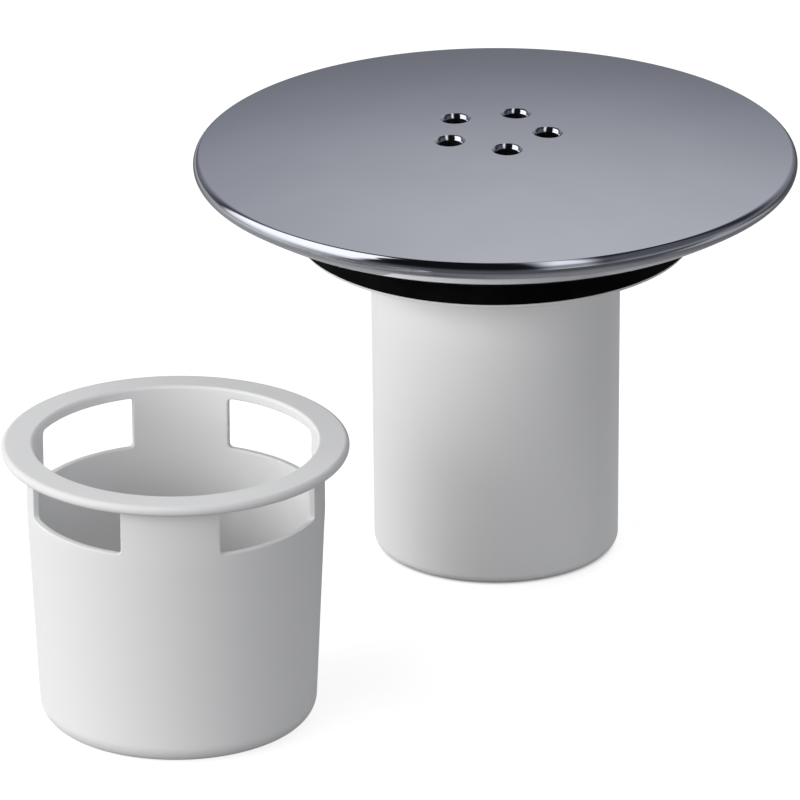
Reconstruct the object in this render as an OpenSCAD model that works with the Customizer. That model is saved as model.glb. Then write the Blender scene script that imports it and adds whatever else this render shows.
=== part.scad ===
// Shower drain insert: a domed cap on a dip tube with its seal ring, and the cup taken out beside it.
// The tube's foot and the cup's base stand on z = 0. The origin is under the middle of the set.

/* [Cap] */
// Diameter of the cap over its rolled rim
cap_d = 115; // [95:1:140]
// Height of the dome's middle above the crease at the rim
dome_rise = 4.7; // [3:0.1:7]
// Thickness of the sheet that the cap is spun from
cap_wall = 1.2; // [0.8:0.1:1.5]
// Radius of the rolled rim
rim_round = 1.9; // [1.7:0.1:3]
// Distance from the outermost edge in to the crease
crease_inset = 1; // [0.5:0.1:1.5]
// Slope, in degrees, of the conical underside
under_slope = 26; // [20:0.5:32]
// Radius of the bead that ends the underside
lip_round = 0.9; // [0.8:0.1:1.2]

/* [Drain holes] */
// Number of drain holes
hole_count = 5; // [3:1:8]
// Diameter of the circle that the holes lie on
hole_pcd = 20; // [18:0.5:30]
// Diameter of each hole's throat
hole_d = 4.4; // [3:0.1:6]
// Radius of the rounded lip of each hole
hole_lip = 0.75; // [0.4:0.05:1]
// Depth of the collar drawn down around each hole
hole_depth = 1.9; // [1.6:0.1:2.5]
// Direction of the first hole, in degrees
hole_phase = -5.5; // [-36:0.5:36]

/* [Dip tube] */
// Height of the flange's underside above the tube's foot
tube_len = 62.7; // [40:0.1:90]
// Outer diameter of the tube just under the flange
tube_d = 47.7; // [36:0.1:54]
// Amount by which the diameter shrinks towards the foot
tube_draft = 0.8; // [0:0.1:2]
// Wall of the tube
tube_wall = 2.2; // [1.6:0.1:3]
// Outer rounding of the foot
foot_round = 2; // [0.5:0.1:2]
// Rounding of the mouth, where the water runs in
mouth_round = 3; // [1:0.5:3]
// Diameter of the flange
flange_d = 75.2; // [70:0.1:90]
// Thickness of the flange inside its step
flange_t = 1.6; // [1.2:0.1:2.4]
// Thickness of the flange outside its step
flange_edge_t = 0.6; // [0.5:0.1:1]
// Width of the thin border outside the step
flange_border = 1.6; // [1:0.1:2.5]

/* [Crown] */
// Wall of the crown
crown_wall = 1.8; // [1.2:0.1:2.5]
// Height of the crown above the flange
crown_h = 16.85; // [14:0.05:22]
// Height of the sill under the crown's inlets
sill_h = 4.8; // [3:0.1:6]
// Height of the ring over the crown's inlets
hoop_h = 3; // [2:0.1:4]
// Number of pillars, of which every second one carries an arm
pillar_count = 6; // [4:2:8]
// Width of each pillar
pillar_w = 5; // [3:0.5:8]
// Thickness of each arm that holds the hub
arm_t = 2; // [1.5:0.1:3]
// Height of each arm
arm_h = 5; // [3:0.5:6]
// Width of the plain land between the hub and each drain hole
hub_land = 1.55; // [1:0.05:3]
// Height of the hub
hub_h = 11; // [8:0.5:13]
// Width of the slot that lets the hub spring open
hub_slot = 1.2; // [0.8:0.1:1.5]

/* [Stud] */
// Diameter of the stud under the middle of the cap
stud_d = 5; // [4:0.1:6]
// Amount by which the stud's catch stands out around it
catch_out = 0.6; // [0.3:0.1:0.8]
// Height of the catch
catch_h = 2.4; // [1.8:0.1:3]

/* [Seal ring] */
// Width of the seal ring, which fills the flange's ledge around the crown
seal_w = 4.95; // [4:0.05:6]
// Height of the seal ring above the flange's step
seal_h = 4; // [2:0.1:5]
// Amount by which the ring stands out past the flange
seal_out = 0.4; // [0.2:0.1:0.8]
// Rounding of the ring's outer edges
seal_round = 0.6; // [0.3:0.1:0.8]
// Width of the ring-shaped gap between the seal and the cap's bead
inlet_gap = 1.6; // [1:0.1:4]

/* [Cup] */
// Height of the cup
cup_h = 54.5; // [40:0.5:80]
// Thickness of the rim
cup_rim_t = 2; // [1.4:0.1:3]
// Amount by which the rim stands out past the body
cup_rim_out = 4.6; // [3:0.1:6]
// Width of the ring-shaped gap that is left between the cup's wall and the tube inside it
trap_gap = 2.45; // [2:0.05:6]
// Amount by which the body's diameter shrinks towards the base
cup_draft = 4; // [0:0.1:6]
// Straight stretch of the body below the windows
cup_straight = 1.5; // [0.5:0.5:5]
// Wall of the cup
cup_wall = 1.3; // [1:0.1:2]
// Thickness of the cup's base
cup_base_t = 1.5; // [1:0.1:3]
// Outer rounding of the base
cup_foot_round = 4; // [3:0.5:8]
// Rounding of the inside edge of the rim
cup_mouth_round = 0.6; // [0.3:0.1:0.9]
// Fillet between the body and the underside of the rim
cup_fillet = 1.5; // [0.5:0.1:2]
// Number of windows under the rim
window_count = 4; // [3:1:6]
// Width of each window, in degrees around the cup
window_a = 51; // [20:1:56]
// Height of each window
window_h = 9.9; // [5:0.1:15]
// Direction of the first window, in degrees
window_phase = 43.7; // [0:0.1:90]

/* [Layout] */
// Distance of the cup's axis to the left of the cap's axis
cup_left = 59.9; // [50:0.1:90]
// Distance of the cup's axis in front of the cap's axis
cup_front = 81.6; // [70:0.1:110]

/* [Clearances] */
// Gap between the crown and the cap that rests on it
seat_gap = 0.05; // [0.02:0.01:0.2]
// Gap between the stud and the hub
stud_gap = 0.1; // [0.05:0.05:0.2]
// Gap between the seal ring and what it sits on
seal_gap = 0.05; // [0.02:0.01:0.1]

/* [Hidden] */

$fn = 144;
// Segments on arcs of a large radius
arc_fn = 1440;
// Overrun of a cutter past the face it cuts
over = 1;

cap_r = cap_d / 2;
tube_r = tube_d / 2;
foot_r = tube_r - tube_draft / 2;
flange_r = flange_d / 2;
step_r = flange_r - flange_border;
seal_r = flange_r + seal_out;
seal_in_r = seal_r - seal_w;
crown_r = seal_in_r - seal_gap;
lip_r = seal_r + inlet_gap + lip_round;
hole_r = hole_d / 2;
hub_r = hole_pcd / 2 - hole_r - hole_lip - hub_land;
stud_r = stud_d / 2;

// Heights, from the foot upwards
flange_top = tube_len + flange_t;
edge_top = tube_len + flange_edge_t;
crown_top = flange_top + crown_h;
hoop_z = crown_top - hoop_h;
sill_z = flange_top + sill_h;

// The dome is a sphere through the crease, laid on the crown's outer edge
crease_r = cap_r - crease_inset;
dome_r = (crease_r * crease_r + dome_rise * dome_rise) / (2 * dome_rise);
dome_cz = crown_top + seat_gap - height_on(dome_r - cap_wall, crown_r);
crease_z = dome_cz + height_on(dome_r, crease_r);

// The rolled rim passes through the crease, and the cone of the underside is tangent to it
rim_cx = cap_r - rim_round;
rim_cz = crease_z - height_on(rim_round, rim_round - crease_inset);
lip_z = under_at(lip_r, rim_round - lip_round);

// A height that lies safely over the whole cap
cap_top = dome_cz + dome_r + over;

// The hub stands just clear of the dome, and its arms start level with its foot
hub_top = dome_cz + height_on(dome_r - cap_wall, hub_r) - stud_gap;
hub_z = hub_top - hub_h;

// Slope of the tube's wall, as the change of radius for each millimetre of height
tube_lean = (tube_r - foot_r) / tube_len;

cup_body_r = tube_r + trap_gap + cup_wall;
cup_r = cup_body_r + cup_rim_out;
cup_foot_r = cup_body_r - cup_draft / 2;
rim_under = cup_h - cup_rim_t;
window_z = rim_under - window_h;
window_side = cup_r * tan(window_a / 2);

// The body is straight through the windows and leans in below them
taper_h = window_z - cup_straight;
cup_lean = (cup_body_r - cup_foot_r) / taper_h;

// The middle of the set's bounding box, seen from the cap's axis
mid_x = (cap_r + min(-cap_r, -cup_left - cup_r)) / 2;
mid_y = (cap_r + min(-cap_r, -cup_front - cup_r)) / 2;

// Height of a circle of radius r above its centre, at a distance x from its axis
function height_on(r, x) = sqrt(r * r - x * x);

// Height of the underside at radius x, for a cone that passes the rim's centre at a distance depth
function under_at(x, depth) = rim_cz - depth / cos(under_slope) - (rim_cx - x) * tan(under_slope);

// Radius of the tube's outside, and of the cup's outside, at a height
function tube_at(z) = foot_r + tube_lean * z;
function cup_at(z) = cup_foot_r + cup_lean * min(z, taper_h);

module disc_at(x, z, r, segments = $fn) {
  translate([x, z])
    circle(r = r, $fn = segments);
}

// What a rounding of radius r takes off a corner at the origin
module corner_off(r) {
  difference() {
    translate([-over, -over])
      square(r + over);
    disc_at(r, r, r);
  }
}

// What a fillet of radius r adds in a corner at the origin, with a tail sunk in both walls
module corner_fill(r) {
  difference() {
    translate([-r / 2, -r / 2])
      square(1.5 * r);
    disc_at(r, r, r);
  }
}

// The hollow between dome and underside with its rolled rim, all drawn in by inset
module cap_outline(inset) {
  round_r = rim_round - inset;
  intersection() {
    disc_at(0, dome_cz, dome_r - inset, arc_fn);
    union() {
      polygon([
        [0, under_at(0, round_r)],
        [rim_cx + round_r * sin(under_slope), rim_cz - round_r * cos(under_slope)],
        [rim_cx, rim_cz],
        [rim_cx, cap_top],
        [0, cap_top]
      ]);
      disc_at(rim_cx, rim_cz, round_r);
    }
  }
}

module cap_shell() {
  rotate_extrude() {
    difference() {
      cap_outline(0);
      cap_outline(cap_wall);
      intersection() {
        disc_at(0, dome_cz, dome_r - cap_wall, arc_fn);
        translate([0, under_at(0, rim_round)])
          square([lip_r, cap_top - under_at(0, rim_round)]);
      }
    }
    disc_at(lip_r, lip_z, lip_round);
  }
}

// Children are placed on the dome at each hole, with +Z square to the surface
module at_holes() {
  tilt = asin(hole_pcd / 2 / dome_r);
  for (i = [0 : hole_count - 1])
    translate([0, 0, dome_cz])
      rotate([0, tilt, hole_phase + i * 360 / hole_count])
        translate([0, 0, dome_r])
          children();
}

module hole_cutter() {
  rotate_extrude() {
    translate([0, -hole_depth - over])
      square([hole_r, hole_depth + 2 * over]);
    difference() {
      translate([0, -hole_lip])
        square([hole_r + hole_lip, hole_lip + over]);
      disc_at(hole_r + hole_lip, -hole_lip, hole_lip);
    }
  }
}

// Pin under the dome with a catch whose cone leads it through the hub
module stud() {
  root_z = hub_top + cap_wall;
  catch_r = stud_r + catch_out;
  catch_z = hub_z - stud_gap;
  rotate_extrude()
    polygon([
      [0, catch_z - catch_h],
      [stud_r - catch_out, catch_z - catch_h],
      [catch_r, catch_z - catch_out],
      [catch_r, catch_z],
      [stud_r, catch_z],
      [stud_r, root_z],
      [0, root_z]
    ]);
}

// Moves a piece so that the middle of the set's box is over the origin
module set_out() {
  translate([-mid_x, -mid_y, 0])
    children();
}

module cap() {
  color([0.72, 0.73, 0.76])
    set_out()
      difference() {
        union() {
          cap_shell();
          stud();
          at_holes()
            translate([0, 0, -hole_depth])
              cylinder(r = hole_r + hole_lip, h = hole_depth - cap_wall / 2);
        }
        at_holes()
          hole_cutter();
      }
}

// Flat ring on the flange with a skirt that hooks over the flange's step
module seal_ring() {
  skirt_r = step_r + seal_gap;
  ring_z = flange_top + seal_gap;
  skirt_z = edge_top + seal_gap;
  top_z = flange_top + seal_h;
  color([0.07, 0.07, 0.08])
    set_out()
      rotate_extrude()
        difference() {
          union() {
            translate([seal_in_r, ring_z])
              square([seal_w, top_z - ring_z]);
            translate([skirt_r, skirt_z])
              square([seal_r - skirt_r, top_z - skirt_z]);
          }
          translate([seal_r, top_z])
            rotate(180)
              corner_off(seal_round);
          translate([seal_r, skirt_z])
            mirror([1, 0])
              corner_off(seal_round / 2);
        }
}

// Half section of the tube, its flange with a step and a thin border, and the crown's wall
module dip_tube_profile() {
  bore_foot = foot_r - tube_wall;
  bore_top = tube_at(flange_top) - tube_wall;
  edge_r = flange_edge_t / 2;
  difference() {
    union() {
      polygon([
        [bore_foot, 0],
        [foot_r, 0],
        [tube_at(flange_top), flange_top],
        [bore_top, flange_top]
      ]);
      translate([tube_r - tube_wall / 2, tube_len])
        square([step_r - tube_r + tube_wall / 2, flange_t]);
      translate([tube_r, tube_len])
        square([flange_r - edge_r - tube_r, flange_edge_t]);
      disc_at(flange_r - edge_r, tube_len + edge_r, edge_r);
      translate([tube_at(tube_len - flange_t), tube_len])
        mirror([0, 1])
          corner_fill(flange_t);
      translate([crown_r - crown_wall, tube_len + flange_t / 2])
        square([crown_wall, crown_top - tube_len - flange_t / 2]);
    }
    translate([tube_at(foot_round), 0])
      mirror([1, 0])
        corner_off(foot_round);
    translate([bore_top, flange_top])
      mirror([0, 1])
        corner_off(mouth_round);
  }
}

// Gaps between the pillars, where the water comes in over the sill
module inlets() {
  ring_r = crown_r + over;
  difference() {
    translate([0, 0, sill_z])
      cylinder(r = ring_r, h = hoop_z - sill_z);
    for (i = [0 : pillar_count - 1])
      rotate(i * 360 / pillar_count)
        translate([0, -pillar_w / 2, sill_z - over])
          cube([ring_r + over, pillar_w, hoop_z - sill_z + 2 * over]);
    translate([0, 0, sill_z - over])
      cylinder(r = crown_r - crown_wall, h = hoop_z - sill_z + 2 * over);
  }
}

module spider() {
  difference() {
    union() {
      for (i = [0 : 2 : pillar_count - 1])
        rotate(i * 360 / pillar_count)
          translate([0, -arm_t / 2, hub_z])
            cube([crown_r - crown_wall / 2, arm_t, arm_h]);
      translate([0, 0, hub_z])
        cylinder(r = hub_r, h = hub_h);
    }
    translate([0, 0, hub_z - over])
      cylinder(r = stud_r + stud_gap, h = hub_h + 2 * over);
    rotate(180 / pillar_count)
      translate([0, -hub_slot / 2, hub_z - over])
        cube([hub_r + over, hub_slot, hub_h + 2 * over]);
  }
}

module dip_tube() {
  color([0.96, 0.96, 0.97])
    set_out() {
      difference() {
        rotate_extrude()
          dip_tube_profile();
        inlets();
      }
      spider();
    }
}

// The cup's hollow, from its base up past its rim
module cup_hollow() {
  in_round = cup_foot_round - cup_wall;
  round_z = cup_base_t + in_round;
  difference() {
    polygon([
      [0, cup_base_t],
      [cup_at(cup_base_t) - cup_wall, cup_base_t],
      [cup_body_r - cup_wall, taper_h],
      [cup_body_r - cup_wall, cup_h + over],
      [0, cup_h + over]
    ]);
    translate([cup_at(round_z) - cup_wall, cup_base_t])
      mirror([1, 0])
        corner_off(in_round);
  }
}

// Half section of the cup without its windows
module cup_profile() {
  edge_r = cup_rim_t / 2;
  in_top = cup_body_r - cup_wall;
  difference() {
    union() {
      polygon([
        [0, 0],
        [cup_foot_r, 0],
        [cup_body_r, taper_h],
        [cup_body_r, cup_h],
        [0, cup_h]
      ]);
      translate([in_top, rim_under])
        square([cup_r - edge_r - in_top, cup_rim_t]);
      disc_at(cup_r - edge_r, rim_under + edge_r, edge_r);
      translate([cup_body_r, rim_under])
        mirror([0, 1])
          corner_fill(cup_fillet);
    }
    cup_hollow();
    translate([cup_at(cup_foot_round), 0])
      mirror([1, 0])
        corner_off(cup_foot_round);
    translate([in_top, cup_h])
      mirror([0, 1])
        corner_off(cup_mouth_round);
  }
}

module cup() {
  color([0.97, 0.97, 0.98])
    set_out()
      translate([-cup_left, -cup_front, 0])
        difference() {
          rotate_extrude()
            cup_profile();
          for (i = [0 : window_count - 1])
            rotate(window_phase + i * 360 / window_count)
              translate([0, 0, window_z])
                linear_extrude(window_h)
                  polygon([[0, 0], [cup_r, -window_side], [cup_r, window_side]]);
        }
}

cap();
seal_ring();
dip_tube();
cup();
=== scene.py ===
import math

import bmesh
import bpy
from mathutils import Matrix, Vector
from mathutils.geometry import delaunay_2d_cdt


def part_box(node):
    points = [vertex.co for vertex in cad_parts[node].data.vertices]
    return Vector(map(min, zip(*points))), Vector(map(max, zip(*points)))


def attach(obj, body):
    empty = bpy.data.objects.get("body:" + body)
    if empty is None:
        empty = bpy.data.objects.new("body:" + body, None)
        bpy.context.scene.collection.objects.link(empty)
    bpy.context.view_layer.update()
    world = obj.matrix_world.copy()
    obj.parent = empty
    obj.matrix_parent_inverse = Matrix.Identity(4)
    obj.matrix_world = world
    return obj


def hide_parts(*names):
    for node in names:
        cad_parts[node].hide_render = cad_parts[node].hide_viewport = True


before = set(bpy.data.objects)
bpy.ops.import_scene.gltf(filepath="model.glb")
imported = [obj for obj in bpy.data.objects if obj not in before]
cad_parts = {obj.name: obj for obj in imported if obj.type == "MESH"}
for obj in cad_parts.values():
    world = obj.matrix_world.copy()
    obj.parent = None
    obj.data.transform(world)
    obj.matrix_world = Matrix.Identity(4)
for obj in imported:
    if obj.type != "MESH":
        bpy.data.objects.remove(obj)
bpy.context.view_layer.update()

# Outlines are drawn in millimetres, as (distance from the axis, height), and made in metres.
mm = 0.001


# Dip tube. One white polypropylene moulding, drafted so that it leaves its mould: the tube, the
# stepped flange that hangs on the trap's ledge, and the crown with its inlets that carries the cap.
# Three arms off the crown hold the slotted hub that the cap's stud snaps into.
tube_low, tube_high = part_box("dip_tube")
tube_axis = (tube_low + tube_high) / 2
flange_r = (tube_high.x - tube_low.x) / 2 / mm
hub_top = tube_high.z / mm
hub_rise = 1.53
crown_top = hub_top - hub_rise
crown_h = 16.85
crown_r = 33
crown_wall = 1.8
flange_top = crown_top - crown_h
flange_t = 1.6
flange_edge_t = 0.6
flange_border = 1.6
flange_z = flange_top - flange_t
step_r = flange_r - flange_border
tube_r = 23.85
foot_r = 23.45
tube_wall = 2.2
foot_round = 1.9
foot_inner_round = 0.18
mouth_round = 3
crown_fillet = 0.5
edge_round = 0.29
soft_edge = 0.15
sill_h = 4.8
hoop_h = 3
pillar_count = 6
pillar_w = 5
arm_t = 2
arm_h = 5
arm_sunk = 0.5
hub_r = 5.5
hub_bore_r = 2.6
hub_h = 11
hub_lead = 0.4
hub_slot = 1.2
hub_steps = 120
round_steps = 360
cut_past = 1
straight = math.radians(89.9)
tube_gloss = 0.36
plastic_white = (0.85, 0.85, 0.86, 1)


def arc(middle, radius, start, stop, step=5):
    """Points on a circle round middle, from start to stop in degrees, at most step degrees apart."""
    count = max(2, math.ceil(abs(stop - start) / step))
    angles = [math.radians(start + (stop - start) * i / count) for i in range(count + 1)]
    return [(middle[0] + radius * math.cos(a), middle[1] + radius * math.sin(a)) for a in angles]


def rounded(corners):
    """The closed outline through corners, each (distance, height, rounding of that corner)."""
    outline = []
    for i, (r, z, rounding) in enumerate(corners):
        here = Vector((r, z))
        before = (Vector(corners[i - 1][:2]) - here).normalized()
        after = (Vector(corners[(i + 1) % len(corners)][:2]) - here).normalized()
        half = before.angle(after) / 2
        if rounding == 0 or half > straight:
            outline.append((r, z))
            continue
        middle = here + (before + after).normalized() * rounding / math.sin(half)
        start = here + before * rounding / math.tan(half) - middle
        stop = here + after * rounding / math.tan(half) - middle
        first = math.degrees(math.atan2(start.y, start.x))
        turn = math.degrees(math.atan2(start.cross(stop), start.dot(stop)))
        outline += arc(middle, rounding, first, first + turn)
    return outline


def finished(mesh, name):
    """Turns a bmesh into an object in the scene, with its faces outwards."""
    bmesh.ops.recalc_face_normals(mesh, faces=mesh.faces)
    data = bpy.data.meshes.new(name)
    mesh.to_mesh(data)
    mesh.free()
    piece = bpy.data.objects.new(name, data)
    bpy.context.scene.collection.objects.link(piece)
    return piece


def ring_of(mesh, r, z, axis, steps):
    """A level ring of vertices, or one vertex again and again where the ring lies on the axis."""
    if r == 0:
        return [mesh.verts.new((axis.x, axis.y, z * mm))] * steps
    turns = [math.tau * i / steps for i in range(steps)]
    return [
        mesh.verts.new((axis.x + r * mm * math.cos(t), axis.y + r * mm * math.sin(t), z * mm))
        for t in turns
    ]


def skin(mesh, rings, closed=False):
    """Faces between neighbouring rings of vertices, and from the last to the first if closed."""
    for lower, upper in zip(rings, rings[1:] + rings[:1] * closed):
        for i in range(len(lower)):
            j = (i + 1) % len(lower)
            corners = list(dict.fromkeys([lower[i], lower[j], upper[j], upper[i]]))
            if len(corners) > 2:
                mesh.faces.new(corners)


def turned(name, outline, axis, steps=round_steps):
    """A solid turned from a closed outline about the upright line through axis."""
    mesh = bmesh.new()
    skin(mesh, [ring_of(mesh, r, z, axis, steps) for r, z in outline], closed=True)
    return finished(mesh, name)


def lofted(name, rings):
    """A closed solid through rings of as many points each, in metres."""
    mesh = bmesh.new()
    rings = [[mesh.verts.new(p) for p in ring] for ring in rings]
    skin(mesh, rings)
    mesh.faces.new(rings[0])
    mesh.faces.new(rings[-1])
    return finished(mesh, name)


def block(name, low, high, axis, turn):
    """A bar between two corners in millimetres, turned about axis by an angle in degrees."""
    square = [(low[1], low[2]), (high[1], low[2]), (high[1], high[2]), (low[1], high[2])]
    spin = Matrix.Rotation(math.radians(turn), 3, "Z")
    move = Vector((axis.x, axis.y, 0))
    rings = [[spin @ Vector((x, y, z)) * mm + move for y, z in square] for x in (low[0], high[0])]
    return lofted(name, rings)


def combine(piece, operation, tools):
    """Fuses the tools into the piece or cuts them out of it, and removes them."""
    for tool in tools:
        step = piece.modifiers.new("step", "BOOLEAN")
        step.operation = operation
        step.solver = "MANIFOLD"
        step.object = tool
    view = bpy.context.evaluated_depsgraph_get()
    piece.data = bpy.data.meshes.new_from_object(piece.evaluated_get(view))
    piece.modifiers.clear()
    for tool in tools:
        bpy.data.objects.remove(tool)


def smooth(piece, sharp=30):
    """Smooth shading that breaks at edges sharper than an angle and follows the broad faces."""
    piece.data.shade_smooth()
    piece.data.set_sharp_from_angle(angle=math.radians(sharp))
    weighted = piece.modifiers.new("broad faces", "WEIGHTED_NORMAL")
    weighted.keep_sharp = True


class Shade:
    """A shader socket. Sums on it become Math nodes, and node() makes every other kind."""

    def __init__(self, tree, socket=None):
        self.tree = tree
        self.socket = socket

    def node(self, kind, settings=(), sockets=(), out=None):
        """A new node: its settings are made first, then its sockets are set or linked."""
        made = self.tree.nodes.new(kind)
        for name, value in dict(settings).items():
            setattr(made, name, value)
        for name, value in dict(sockets).items():
            into = made.inputs[name] if isinstance(name, int) else self.named(made.inputs, name)
            if isinstance(value, Shade):
                self.tree.links.new(value.socket, into)
            else:
                into.default_value = value
        return Shade(self.tree, self.named(made.outputs, out))

    @staticmethod
    def named(sockets, name):
        """The socket in use with that name, or the first in use if there is no name."""
        return next((s for s in sockets if s.enabled and name in (None, s.name)), None)

    def math(self, operation, *values):
        return self.node("ShaderNodeMath", {"operation": operation}, enumerate(values))

    def __add__(self, other):
        return self.math("ADD", self, other)

    def __sub__(self, other):
        return self.math("SUBTRACT", self, other)

    def __rsub__(self, other):
        return self.math("SUBTRACT", other, self)

    def __mul__(self, other):
        return self.math("MULTIPLY", self, other)

    def __truediv__(self, other):
        return self.math("DIVIDE", self, other)

    __radd__ = __add__
    __rmul__ = __mul__

    def ease(self, low, high, start=0.0, stop=1.0):
        """Goes smoothly from start to stop as the value goes from low to high."""
        limits = {"From Min": low, "From Max": high, "To Min": start, "To Max": stop}
        return self.node(
            "ShaderNodeMapRange", {"interpolation_type": "SMOOTHSTEP"}, {"Value": self, **limits}
        )


def finish_of(name):
    """A new material and the Shade that its nodes start from."""
    material = bpy.data.materials.new(name)
    material.use_nodes = True
    material.node_tree.nodes.clear()
    return material, Shade(material.node_tree)


def noise(start, where, scale, detail=2.0, roughness=0.5):
    """Noise from 0 to 1 over the piece, with scale features to the metre."""
    return start.node(
        "ShaderNodeTexNoise",
        {},
        {"Vector": where, "Scale": scale, "Detail": detail, "Roughness": roughness},
    )


def coated(start, sockets):
    """The surface with these sockets of the main shader set, wired to the output."""
    surface = start.node("ShaderNodeBsdfPrincipled", {}, sockets)
    start.node("ShaderNodeOutputMaterial", {}, {"Surface": surface})


def moulded_plastic(name, colour, gloss):
    """Moulded polypropylene: a milky sheen, clouds left by the flow, and the mould's fine grain."""
    material, start = finish_of(name)
    where = start.node("ShaderNodeTexCoord", {}, {}, "Object")
    cloud = noise(start, where, scale=45, detail=3)
    grain = noise(start, where, scale=2600, roughness=0.6)
    paler = tuple(min(1, c * 1.03) for c in colour[:3]) + (1,)
    deeper = tuple(c * 0.975 for c in colour[:3]) + (1,)
    tint = start.node(
        "ShaderNodeMix",
        {"data_type": "RGBA"},
        {"Factor": cloud.ease(0.3, 0.7), "A": deeper, "B": paler},
    )
    skin_bump = start.node(
        "ShaderNodeBump", {}, {"Height": grain, "Strength": 0.06, "Distance": 0.00005}
    )
    sheen = gloss + (cloud - 0.5) * 0.12 + (grain - 0.5) * 0.1
    coated(
        start,
        {"Base Color": tint, "Roughness": sheen, "Normal": skin_bump, "IOR": 1.49},
    )
    return material


hub_z = hub_top - hub_h
tube = turned(
    "dip_tube_moulding",
    rounded([
        (foot_r - tube_wall, 0, foot_inner_round),
        (foot_r, 0, foot_round),
        (tube_r, flange_z, flange_t),
        (flange_r, flange_z, edge_round),
        (flange_r, flange_z + flange_edge_t, edge_round),
        (step_r, flange_z + flange_edge_t, soft_edge),
        (step_r, flange_top, soft_edge),
        (crown_r, flange_top, soft_edge),
        (crown_r, crown_top, edge_round),
        (crown_r - crown_wall, crown_top, edge_round),
        (crown_r - crown_wall, flange_top, crown_fillet),
        (tube_r - tube_wall, flange_top, mouth_round),
    ]),
    tube_axis,
)
pillar_gap = 360 / pillar_count
inlet_low, inlet_high = flange_top + sill_h, crown_top - hoop_h
tube_foot = Vector((tube_axis.x, tube_axis.y, 0))
inlets = []
for i in range(pillar_count):
    rings = []
    for r in (crown_r - crown_wall - cut_past, crown_r + cut_past):
        half = pillar_gap / 2 - math.degrees(math.asin(pillar_w / 2 / r))
        turn = pillar_gap * (i + 0.5)
        sill = arc((0, 0), r, turn - half, turn + half, 2)
        rings.append(
            [Vector((x, y, inlet_low)) * mm + tube_foot for x, y in sill]
            + [Vector((x, y, inlet_high)) * mm + tube_foot for x, y in reversed(sill)]
        )
    inlets.append(lofted(f"inlet_{i}", rings))
combine(tube, "DIFFERENCE", inlets)
hub = turned(
    "hub",
    rounded([
        (hub_bore_r, hub_z, hub_lead),
        (hub_r, hub_z, soft_edge),
        (hub_r, hub_top, soft_edge),
        (hub_bore_r, hub_top, soft_edge),
    ]),
    tube_axis,
    hub_steps,
)
slot = block(
    "slot",
    (0, -hub_slot / 2, hub_z - cut_past),
    (hub_r + cut_past, hub_slot / 2, hub_top + cut_past),
    tube_axis,
    pillar_gap / 2,
)
combine(hub, "DIFFERENCE", [slot])
arms = [
    block(
        f"arm_{i}",
        (hub_r - arm_sunk, -arm_t / 2, hub_z),
        (crown_r - crown_wall / 2, arm_t / 2, hub_z + arm_h),
        tube_axis,
        2 * pillar_gap * i,
    )
    for i in range(pillar_count // 2)
]
combine(tube, "UNION", [*arms, hub])
smooth(tube)
tube.data.materials.append(moulded_plastic("white moulding", plastic_white, tube_gloss))
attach(tube, "root")
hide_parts("dip_tube")


# Seal ring. Moulded black rubber, flat on the flange inside the cap's rim, with a skirt that hooks
# over the flange's step. It stands out a little past the flange, where the trap squeezes it.
seal_low, seal_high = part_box("seal_ring")
seal_axis = (seal_low + seal_high) / 2
seal_r = (seal_high.x - seal_low.x) / 2 / mm
seal_w = 4.95
seal_gap = 0.05
seal_inner_round = 0.1
seal_low_round = 0.3
seal_high_round = 0.6
skirt_z = seal_low.z / mm
seal_top = seal_high.z / mm
rubber_black = (0.0015, 0.0015, 0.0017, 1)
rubber_worn = (0.004, 0.004, 0.0043, 1)

seal = turned(
    "rubber_seal",
    rounded([
        (seal_r - seal_w, flange_top + seal_gap, soft_edge),
        (step_r + seal_gap, flange_top + seal_gap, seal_inner_round),
        (step_r + seal_gap, skirt_z, soft_edge),
        (seal_r, skirt_z, seal_low_round),
        (seal_r, seal_top, seal_high_round),
        (seal_r - seal_w, seal_top, seal_low_round),
    ]),
    seal_axis,
)
smooth(seal)
rubber, start = finish_of("black rubber")
where = start.node("ShaderNodeTexCoord", {}, {}, "Object")
bloom = noise(start, where, scale=90, detail=4)
pores = noise(start, where, scale=1800, detail=3, roughness=0.6)
tint = start.node(
    "ShaderNodeMix",
    {"data_type": "RGBA"},
    {"Factor": bloom.ease(0.4, 0.7), "A": rubber_black, "B": rubber_worn},
)
pore_bump = start.node("ShaderNodeBump", {}, {"Height": pores, "Strength": 0.1, "Distance": 0.0001})
coated(
    start,
    {
        "Base Color": tint,
        "Roughness": 0.5 + (bloom - 0.5) * 0.2,
        "Normal": pore_bump,
        "Specular IOR Level": 0.03,
    },
)
seal.data.materials.append(rubber)
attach(seal, "root")
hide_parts("seal_ring")


# Cap. Spun from one sheet of brass and chromed, with its inside painted near black as shade: a
# shallow dome with a crease close to its edge, a rolled rim, and an underside that bows out a
# little and ends in a bead.
# Five holes are drawn down into short collars, and a pin with a catch is brazed under the middle.
cap_low, cap_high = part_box("cap")
cap_axis = (cap_low + cap_high) / 2
cap_r = (cap_high.x - cap_low.x) / 2 / mm
cap_top = cap_high.z / mm
dome_rise = 4.7
sheet_t = 1.2
rim_round = 1.9
crease_inset = 1
crease_round = 0.45
under_slope = 26
under_bow = 75
bead_round = 0.9
water_gap = 1.6
bead_r = seal_r + water_gap + bead_round
hole_count = 5
hole_ring_r = 10
hole_r = 2.2
hole_lip = 0.75
lip_edge = 28
lip_end = 62
hole_depth = 2.2
hole_phase = -5.5
patch_rings = (4.6, 4.2, 3.6)
hole_patch = patch_rings[0]
collar_round = 0.1
collar_fillet = 0.15
collar_sunk = 0.02
stud_r = 2.5
catch_out = 0.6
catch_h = 2.4
catch_round = 0.1
stud_gap = 0.1
stud_fillet = 0.3
stud_rings_r = (3.6, 3.2)
middle_r = 16.5
middle_grid = 1.25
hole_steps = 72
zone_share = 0.999
dome_step = 0.25
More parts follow.
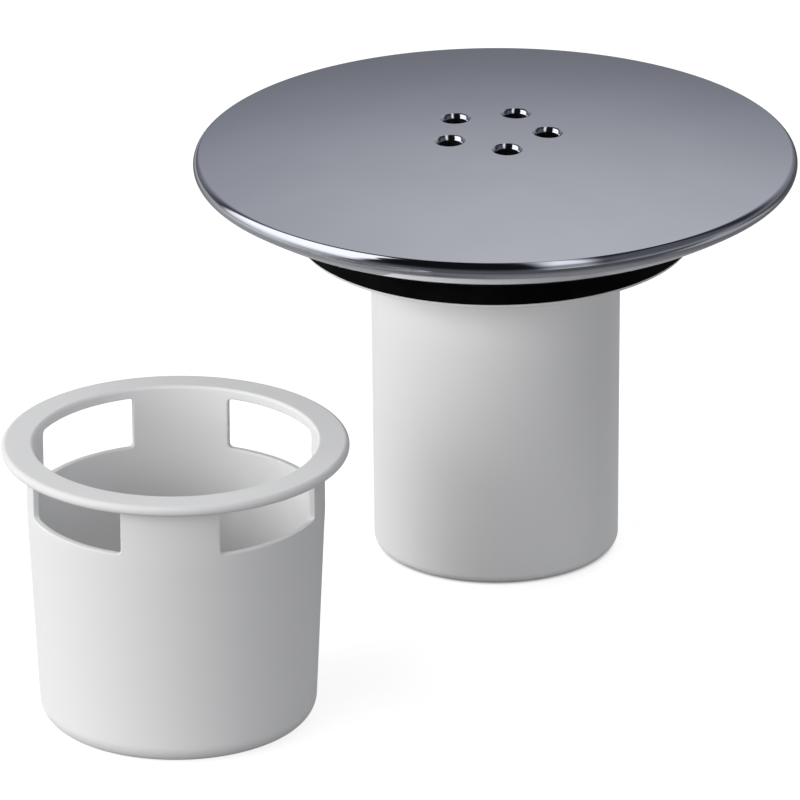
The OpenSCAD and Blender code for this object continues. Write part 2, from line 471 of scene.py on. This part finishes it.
crease_zone = 0.25
cap_sharp = 12

crease_r = cap_r - crease_inset
dome_r = (crease_r**2 + dome_rise**2) / (2 * dome_rise)
dome_mid = (0, cap_top - dome_r)
rim_mid = (
    cap_r - rim_round,
    cap_top - dome_rise - math.sqrt(rim_round**2 - (rim_round - crease_inset) ** 2),
)


def meeting(middle_a, radius_a, middle_b, radius_b):
    """The point where two circles cross, to the right on the way from the first to the second."""
    a, b = Vector(middle_a), Vector(middle_b)
    apart = (b - a).length
    share = (radius_a**2 - radius_b**2 + apart**2) / (2 * apart)
    off = math.sqrt(radius_a**2 - share**2)
    step = (b - a).normalized()
    return a + step * share + Vector((step.y, -step.x)) * off


def bearing(middle, point):
    """Direction in degrees from middle to point."""
    return math.degrees(math.atan2(point[1] - middle[1], point[0] - middle[0]))


def on_dome(radius, r):
    """Height on the dome's sphere, or on a thinner one inside it, at a distance from the axis."""
    return dome_mid[1] + math.sqrt(radius**2 - r**2)


# The outer skin goes from the middle out over the crease, the rim and the bowed underside, and round
# the bead. The inner skin follows it back a sheet's thickness further in.
inner_dome_r = dome_r - sheet_t
inner_rim_r = rim_round - sheet_t
slope = math.radians(under_slope)
bead_z = (
    rim_mid[1]
    - (rim_mid[0] - bead_r) * math.tan(slope)
    - (rim_round - bead_round) / math.cos(slope)
)
bead_mid = (bead_r, bead_z)
bow_mid = meeting(rim_mid, under_bow - rim_round, bead_mid, under_bow - bead_round)
crease_mid = meeting(dome_mid, dome_r - crease_round, rim_mid, rim_round - crease_round)
crease_start = bearing(dome_mid, crease_mid)
crease_stop = bearing(rim_mid, crease_mid)
bow_start = bearing(bow_mid, rim_mid)
bow_stop = bearing(bow_mid, bead_mid)
bead_end = meeting(bead_mid, bead_round, bow_mid, under_bow - sheet_t)
inner_corner = meeting(dome_mid, inner_dome_r, rim_mid, inner_rim_r)
dome_start = math.degrees(math.acos(middle_r / dome_r))
inner_start = math.degrees(math.acos(middle_r / inner_dome_r))
outer_outline = (
    arc(dome_mid, dome_r, dome_start, crease_start + crease_zone, dome_step)
    + arc(dome_mid, dome_r, crease_start + crease_zone, crease_start, dome_step / 5)[1:]
    + arc(crease_mid, crease_round, crease_start, crease_stop, 1.5)[1:]
    + arc(rim_mid, rim_round, crease_stop, bow_start, 3)[1:]
    + arc(bow_mid, under_bow, bow_start, bow_stop, 0.5)[1:]
    + arc(bead_mid, bead_round, bow_stop, bearing(bead_mid, bead_end) - 360, 6)[1:]
)
inner_outline = (
    arc(bow_mid, under_bow - sheet_t, bearing(bow_mid, bead_end), bow_start, 0.5)[1:]
    + arc(rim_mid, inner_rim_r, bow_start, bearing(rim_mid, inner_corner), 10)[1:]
    + arc(dome_mid, inner_dome_r, bearing(dome_mid, inner_corner), inner_start, 0.5)[1:]
)
cap_mesh = bmesh.new()


def paint_inside_shade(first):
    """Gives the faces from the first one the cap's inside finish of near-black metal, painted shade.
    """
    cap_mesh.faces.ensure_lookup_table()
    for face in cap_mesh.faces[first:]:
        face.material_index = 1


outer_rings = [ring_of(cap_mesh, r, z, cap_axis, round_steps) for r, z in outer_outline]
inner_rings = [ring_of(cap_mesh, r, z, cap_axis, round_steps) for r, z in inner_outline]
skin(cap_mesh, outer_rings)
faces_before = len(cap_mesh.faces)
skin(cap_mesh, [outer_rings[-1], *inner_rings])
paint_inside_shade(faces_before)

# Each hole is turned about its own axis, which passes through the middle of the dome's sphere
outer_patch = [(r, math.sqrt(dome_r**2 - r**2) - dome_r) for r in patch_rings]
inner_patch = [(r, math.sqrt(inner_dome_r**2 - r**2) - dome_r) for r in reversed(patch_rings)]
lip_r = hole_r + hole_lip
lip_start, lip_stop = math.radians(lip_edge), math.radians(lip_end)
lip_bend = hole_lip / (math.sin(lip_stop) - math.sin(lip_start))
lip_top = math.sqrt(dome_r**2 - lip_r**2) - dome_r
lip_mid = (hole_r + lip_bend * math.sin(lip_stop), lip_top - lip_bend * math.cos(lip_start))
mouth_outline = outer_patch + arc(lip_mid, lip_bend, 90 + lip_edge, 90 + lip_end, 4)
collar_outline = (
    arc((hole_r + collar_round, collar_round - hole_depth), collar_round, 180, 270, 30)
    + arc((lip_r - collar_round, collar_round - hole_depth), collar_round, 270, 360, 30)
    + [(lip_r, -sheet_t - collar_fillet), (lip_r + collar_fillet, -sheet_t - collar_sunk)]
    + inner_patch
)
tilt = math.asin(hole_ring_r / dome_r)
sphere_mid = Vector((cap_axis.x, cap_axis.y, dome_mid[1] * mm))
outer_edges, inner_edges, hole_middles = [outer_rings[0]], [inner_rings[-1]], []
for i in range(hole_count):
    turn = math.radians(hole_phase + i * 360 / hole_count)
    stand = Matrix.Rotation(turn, 3, "Z") @ Matrix.Rotation(tilt, 3, "Y")
    rings = []
    for r, z in mouth_outline + collar_outline:
        rings.append([])
        for k in range(hole_steps):
            a = math.tau * k / hole_steps
            spot = Vector((r * math.cos(a), r * math.sin(a), dome_r + z)) * mm
            rings[-1].append(cap_mesh.verts.new(sphere_mid + stand @ spot))
    skin(cap_mesh, rings[:len(mouth_outline)])
    faces_before = len(cap_mesh.faces)
    skin(cap_mesh, rings[len(mouth_outline) - 1:])
    paint_inside_shade(faces_before)
    outer_edges.append(rings[0])
    inner_edges.append(rings[-1])
    hole_middles.append(Vector((math.cos(turn), math.sin(turn))) * hole_ring_r)

# The stud under the middle, from the inner skin down to its catch
catch_z = hub_z - stud_gap
catch_r = stud_r + catch_out
stud_root = on_dome(inner_dome_r, stud_r)
stud_outline = (
    [(r, on_dome(inner_dome_r, r)) for r in stud_rings_r]
    + arc((stud_r + stud_fillet, stud_root - stud_fillet), stud_fillet, 90, 180, 15)
    + [(stud_r, catch_z), (catch_r - catch_round, catch_z), (catch_r, catch_z - catch_round)]
    + [(catch_r, catch_z - catch_out), (stud_r - catch_out, catch_z - catch_h)]
    + [(0, catch_z - catch_h)]
)
stud_rings = [ring_of(cap_mesh, r, z, cap_axis, hole_steps) for r, z in stud_outline]


def web(edges, keep_off, radius):
    """Fills the sheet between a first, outer ring and the rings inside it with even triangles."""
    flat, vertices, links = [], [], []
    for edge in edges:
        first = len(flat)
        for k, v in enumerate(edge):
            flat.append(Vector(((v.co.x - cap_axis.x) / mm, (v.co.y - cap_axis.y) / mm)))
            vertices.append(v)
            links.append((first + k, first + (k + 1) % len(edge)))
    rows = math.ceil(middle_r / middle_grid)
    for row in range(-rows, rows + 1):
        for column in range(-rows, rows + 1):
            x = (column + row % 2 / 2) * middle_grid
            y = row * middle_grid * math.sqrt(3) / 2
            spot = Vector((x, y))
            clear = spot.length < middle_r - middle_grid / 2
            if clear and all((spot - at).length > r + middle_grid / 2 for at, r in keep_off):
                flat.append(spot)
                point = (cap_axis.x + x * mm, cap_axis.y + y * mm, on_dome(radius, spot.length) * mm)
                vertices.append(cap_mesh.verts.new(point))
    points, _, faces, origins, _, _ = delaunay_2d_cdt(flat, links, [], 0, 1e-6)
    for face in faces:
        middle = sum((points[k] for k in face), Vector((0, 0))) / 3
        if middle.length < middle_r and all((middle - at).length > r for at, r in keep_off):
            cap_mesh.faces.new([vertices[origins[k][0]] for k in face])


hole_zones = [(at, hole_patch * zone_share) for at in hole_middles]
web(outer_edges, hole_zones, dome_r)
faces_before = len(cap_mesh.faces)
skin(cap_mesh, stud_rings)
stud_zone = (Vector((0, 0)), stud_rings_r[0] * zone_share)
web([*inner_edges, stud_rings[0]], [*hole_zones, stud_zone], inner_dome_r)
paint_inside_shade(faces_before)
cap = finished(cap_mesh, "drain_cap")
smooth(cap, cap_sharp)

chrome, start = finish_of("chrome plate")
chrome_dark = (0.53, 0.545, 0.6, 1)
chrome_light = (0.545, 0.56, 0.615, 1)
inside_shade_dark = (0.05, 0.05, 0.055, 1)
inside_shade_pale = (0.09, 0.09, 0.095, 1)
where = start.node("ShaderNodeTexCoord", {}, {}, "Object")
from_axis = start.node(
    "ShaderNodeVectorMath",
    {"operation": "SUBTRACT"},
    {0: where, 1: (cap_axis.x, cap_axis.y, 0)},
)
flat_out = start.node(
    "ShaderNodeVectorMath", {"operation": "MULTIPLY"}, {0: from_axis, 1: (1, 1, 0)}
)
reach = start.node("ShaderNodeVectorMath", {"operation": "LENGTH"}, {0: flat_out}, "Value")
spin_rings = start.node(
    "ShaderNodeTexNoise", {"noise_dimensions": "1D"}, {"W": reach * 1400, "Scale": 1.0, "Detail": 4.0}
)
haze = noise(start, where, scale=60, detail=4)
orange_peel = noise(start, where, scale=420)
tint = start.node(
    "ShaderNodeMix",
    {"data_type": "RGBA"},
    {"Factor": haze.ease(0.35, 0.65), "A": chrome_dark, "B": chrome_light},
)
peel_bump = start.node(
    "ShaderNodeBump", {}, {"Height": orange_peel, "Strength": 0.05, "Distance": 0.00002}
)
coated(
    start,
    {
        "Base Color": tint,
        "Metallic": 1.0,
        "Roughness": 0.07 + (haze - 0.5) * 0.03 + (spin_rings - 0.5) * 0.03,
        "Normal": peel_bump,
    },
)
# The cap's inside is near-black metal, painted shade, so that the holes look dark inside.
painted_shade, start = finish_of("dull inside")
where = start.node("ShaderNodeTexCoord", {}, {}, "Object")
stain = noise(start, where, scale=150, detail=4)
tint = start.node(
    "ShaderNodeMix",
    {"data_type": "RGBA"},
    {"Factor": stain.ease(0.35, 0.65), "A": inside_shade_dark, "B": inside_shade_pale},
)
coated(start, {"Base Color": tint, "Metallic": 1.0, "Roughness": 0.5 + (stain - 0.5) * 0.2})
cap.data.materials.append(chrome)
cap.data.materials.append(painted_shade)
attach(cap, "root")
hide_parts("cap")


# Cup. One white polypropylene moulding that hangs in the trap by its rim and holds the water that
# seals it. Its body leans in towards a rounded foot, and four windows under the rim let water out.
cup_low, cup_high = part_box("cup")
cup_axis = (cup_low + cup_high) / 2
cup_r = (cup_high.x - cup_low.x) / 2 / mm
cup_top = cup_high.z / mm
rim_out = 4.6
rim_t = 2
cup_wall = 1.3
base_t = 1.5
cup_lean = 2
foot_fillet = 4
inside_fillet = 2.7
lean_z = 41.1
lean_blend = 20
rim_fillet = 1.5
rim_soft = 0.95
mouth_soft = 0.6
window_count = 4
window_half = 25.5
window_phase = 43.7
window_h = 9.9
window_corner = 0.8
window_soft = 0.28
window_step = 0.7
soft_steps = 5
cup_gloss = 0.4
cup_white = (0.87, 0.87, 0.88, 1)

body_r = cup_r - rim_out
rim_z = cup_top - rim_t
in_r = body_r - cup_wall
foot_in_r = body_r - cup_lean * (1 - base_t / lean_z) - cup_wall
cup = turned(
    "trap_cup",
    rounded([
        (0, 0, 0),
        (body_r - cup_lean, 0, foot_fillet),
        (body_r, lean_z, lean_blend),
        (body_r, rim_z, rim_fillet),
        (cup_r, rim_z, rim_soft),
        (cup_r, cup_top, rim_soft),
        (in_r, cup_top, mouth_soft),
        (in_r, lean_z, lean_blend),
        (foot_in_r, base_t, inside_fillet),
        (0, base_t, 0),
    ]),
    cup_axis,
)


def window_ring(r, flare, flare_top, turn):
    """Outline of a window on the cylinder of radius r, spread by flare beyond its plain size."""
    soft = window_corner + flare
    wide = math.radians(window_half) * r + flare - soft
    low = rim_z - window_h - flare + soft
    high = rim_z + flare_top - soft
    outline = []
    for along, z, first in ((wide, low, 270), (wide, high, 0), (-wide, high, 90), (-wide, low, 180)):
        outline += arc((along, z), soft, first, first + 90, 15)
    points = []
    for (along, z), (next_along, next_z) in zip(outline, outline[1:] + outline[:1]):
        count = max(1, math.ceil(abs(next_along - along) / window_step))
        for k in range(count):
            share = k / count
            angle = math.radians(turn) + (along + (next_along - along) * share) / r
            height = z + (next_z - z) * share
            x = cup_axis.x + r * mm * math.cos(angle)
            y = cup_axis.y + r * mm * math.sin(angle)
            points.append(Vector((x, y, height * mm)))
    return points


def same_count(rings):
    """Rings sampled again to as many points each, evenly along each stretch."""
    count = max(len(ring) for ring in rings)
    return [
        [ring[round(k * len(ring) / count) % len(ring)] for k in range(count)] for ring in rings
    ]


# The cutter of a window flares at both faces of the wall, which leaves the window's edges soft
flares = []
for k in range(soft_steps + 1):
    depth = window_soft * k / soft_steps
    spread = window_soft - math.sqrt(window_soft**2 - (window_soft - depth) ** 2)
    flares.append((depth, spread))
stations = [(in_r - 2 * cut_past, window_soft)]
stations += [(in_r + depth, spread) for depth, spread in flares]
stations += [(body_r - depth, spread) for depth, spread in reversed(flares)]
stations.append((cup_r + cut_past, window_soft))
windows = []
for i in range(window_count):
    turn = window_phase + i * 360 / window_count
    rings = []
    for r, spread in stations:
        inside = r < (in_r + body_r) / 2
        rings.append(window_ring(r, spread, spread if inside else 0, turn))
    windows.append(lofted(f"window_{i}", same_count(rings)))
combine(cup, "DIFFERENCE", windows)
smooth(cup)
cup.data.materials.append(moulded_plastic("white cup moulding", cup_white, cup_gloss))
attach(cup, "root")
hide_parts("cup")


# Floor. A wide sheet of board a hair under the object, which carries the object's shadow. The
# camera sees it near white, and dark where it lies under the tube's bore. The chrome mirrors it as
# grey board with a painted pool of light round the object that darkens further off, and a painted
# reflection, a pale patch that only the chrome sees, on either side.
floor_reach = 6
floor_drop = 0.0001
board_far = 0.14
light_pool_tone = 0.37
far_white = 0.97
near_dip = 0.21
reflected_patch_glow = 0.4
floor_mesh = bmesh.new()
corners = [(x, y * x) for x in (-floor_reach, floor_reach) for y in (1, -1)]
floor_mesh.faces.new([floor_mesh.verts.new((x, y, -floor_drop)) for x, y in corners])
floor = finished(floor_mesh, "floor")
board, start = finish_of("pale board")
camera_ray = start.node("ShaderNodeLightPath", {}, {}, "Is Camera Ray")
path = camera_ray.socket.node
mirrored = Shade(start.tree, path.outputs["Is Glossy Ray"])
through = Shade(start.tree, path.outputs["Is Transmission Ray"])
where = start.node("ShaderNodeTexCoord", {}, {}, "Object")
spread = start.node("ShaderNodeSeparateXYZ", {}, {"Vector": where}, "X")
rightward = start.math("MAXIMUM", spread, 0)
backward = Shade(start.tree, spread.socket.node.outputs["Y"]) - 0.04
reach = start.math("SQRT", rightward * rightward + backward * backward)
near = reach.ease(0.04, 0.24, 1, 0)
# Painted reflections: two pale patches on the floor, left and right, that glow only for rays mirrored
# in the chrome.
left_reflected_patch = spread.ease(-0.3, -0.1, 1, 0) * (backward - spread * 0.75).ease(-0.03, 0.03)
right_reflected_patch = spread.ease(0.15, 0.25) * start.math("ABSOLUTE", backward).ease(0.08, 0.16, 1, 0)
# Painted pool of light: the board's grey is lighter near the object and darker further off.
tone_with_light_pool = board_far + near * light_pool_tone
reflected_patches = (left_reflected_patch + right_reflected_patch) * reflected_patch_glow
glow = camera_ray * (far_white - near * near_dip) + (mirrored + through) * reflected_patches
from_tube = start.node(
    "ShaderNodeVectorMath",
    {"operation": "SUBTRACT"},
    {0: where, 1: (tube_axis.x, tube_axis.y, 0)},
)
from_bore = start.node("ShaderNodeVectorMath", {"operation": "LENGTH"}, {0: from_tube}, "Value")
glow = glow * from_bore.ease((foot_r - tube_wall) * mm, foot_r * mm)
shade = start.node("ShaderNodeCombineColor", {}, {"Red": tone_with_light_pool, "Green": tone_with_light_pool, "Blue": tone_with_light_pool})
card = start.node("ShaderNodeBsdfDiffuse", {}, {"Color": shade})
light = start.node("ShaderNodeEmission", {}, {"Color": (1, 1, 1, 1), "Strength": glow})
both = start.node("ShaderNodeAddShader", {}, {0: card, 1: light})
start.node("ShaderNodeOutputMaterial", {}, {"Surface": both})
floor.data.materials.append(board)


# Light. A tent whose walls glow: a tall soft box on the left, a wall behind that brightens upwards,
# a strip high up in front on the right, dim light low in front and on the right, and a dark roof.
# Side and ahead are the level part of a direction. Five lamps add light for the plastics.
world = bpy.data.worlds.new("tent")
bpy.context.scene.world = world
world.use_nodes = True
world.node_tree.nodes.clear()
start = Shade(world.node_tree)
where = start.node("ShaderNodeTexCoord", {}, {}, "Generated")
axes = start.node("ShaderNodeSeparateXYZ", {}, {"Vector": where}, "X")
split = axes.socket.node
x, y, z = (Shade(start.tree, split.outputs[k]) for k in "XYZ")
never_zero = 0.0001
level = start.math("SQRT", x * x + y * y) + never_zero
side, ahead = x / level, y / level
wall = z.ease(0.0, 0.7, 0.24, 0.76) * z.ease(0.72, 0.82, 1, 0.05) * side.ease(-0.3, 0.05, 0.75, 1)
behind = ahead.ease(0.5, 0.9)
left_box = ahead.ease(-0.66, -0.56) * ahead.ease(0.44, 0.56, 1, 0) * side.ease(0.0, 0.1, 1, 0)
left_box = left_box * (z + ahead * ahead * 0.8).ease(0.965, 1.0, 1, 0)
left_box = left_box * (x - y * 0.32).ease(-0.4, -0.3, 1, 0) * z.ease(0.05, 0.4, 1.1, 1.75)
aside = start.math("ABSOLUTE", x - 0.2 + y * 0.3) + y * 0.12
strip = aside.ease(-0.01, 0.15, 1.3, 0) * y.ease(0.2, 0.35, 1, 0) * z.ease(0.5, 0.85, 0.3, 1)
front = z.ease(0.0, 0.45, 0.14, 0.012) * (1 - behind) * side.ease(0.1, 0.5, 0.8, 1.8)
right_wall = side.ease(0.6, 0.8) * ahead.ease(0.15, 0.35, 0.12, 0.02) * z.ease(0.8, 0.95, 1, 0.1)
tent = wall * behind + left_box + strip + front + right_wall
rays = start.node("ShaderNodeLightPath", {}, {}, "Is Camera Ray")
seen = rays + (1 - rays) * tent
cool = start.node(
    "ShaderNodeMix",
    {"data_type": "RGBA"},
    {"Factor": seen.ease(0.0, 0.9), "A": (0.9, 0.94, 1.08, 1), "B": (1, 1, 1, 1)},
)
sky = start.node("ShaderNodeBackground", {}, {"Color": cool, "Strength": seen})
start.node("ShaderNodeOutputWorld", {}, {"Surface": sky})

lamp_aim = Vector((0, 0, 0.04))
lamp_wide = 1.2


def lamp(name, spot, height, watts):
    """A soft box that lights the plastics but doesn't show in the chrome."""
    light = bpy.data.lights.new(name, "AREA")
    light.shape = "RECTANGLE"
    light.size = lamp_wide
    light.size_y = height
    light.energy = watts
    box = bpy.data.objects.new(name, light)
    box.location = spot
    box.rotation_euler = (lamp_aim - Vector(spot)).to_track_quat("-Z", "Y").to_euler()
    box.visible_camera = False
    box.visible_glossy = False
    bpy.context.scene.collection.objects.link(box)


lamp("left key", (-1.6, -0.5, 0.6), 1.0, 6.5)
lamp("front fill", (-1.2, -1.3, 0.7), 1.0, 14)
lamp("right fill", (1.1, -1.4, 0.5), 0.8, 6.5)
lamp("back fill", (0.9, 1.7, 0.8), 1.0, 14)
lamp("top fill", (0.1, 0, 1.5), 1.0, 1)


# Camera. A long lens from far away, as close to the photograph's view as one camera comes. The
# middle of the dip tube's foot is fitted to the pixel where the photograph shows it.
frame_px = 800
lens_mm = 540
sensor_mm = 36
pitch = math.radians(22.403)
roll = math.radians(0.314)
far = 2.3116
foot_px = (496.11, 536.94)

focal_px = lens_mm / sensor_mm * frame_px
across = foot_px[0] - frame_px / 2
upward = frame_px / 2 - foot_px[1]
turned_across = math.cos(roll) * across + math.sin(roll) * upward
turned_up = -math.sin(roll) * across + math.cos(roll) * upward
to_right = Vector((1, 0, 0))
to_front = Vector((0, math.cos(pitch), -math.sin(pitch)))
to_top = Vector((0, math.sin(pitch), math.cos(pitch)))
foot = Vector((tube_axis.x, tube_axis.y, tube_low.z))
camera = bpy.data.objects.new("camera", bpy.data.cameras.new("camera"))
camera.data.lens = lens_mm
camera.data.sensor_width = sensor_mm
camera.data.clip_end = 50
turned_right = math.cos(roll) * to_right - math.sin(roll) * to_top
turned_top = math.sin(roll) * to_right + math.cos(roll) * to_top
basis = Matrix((turned_right, turned_top, -to_front)).transposed().to_4x4()
away = to_right * turned_across + to_top * turned_up
basis.translation = foot - far * (away / focal_px + to_front)
camera.matrix_world = basis
bpy.context.scene.collection.objects.link(camera)
bpy.context.scene.camera = camera
bpy.context.scene.view_settings.view_transform = "Standard"
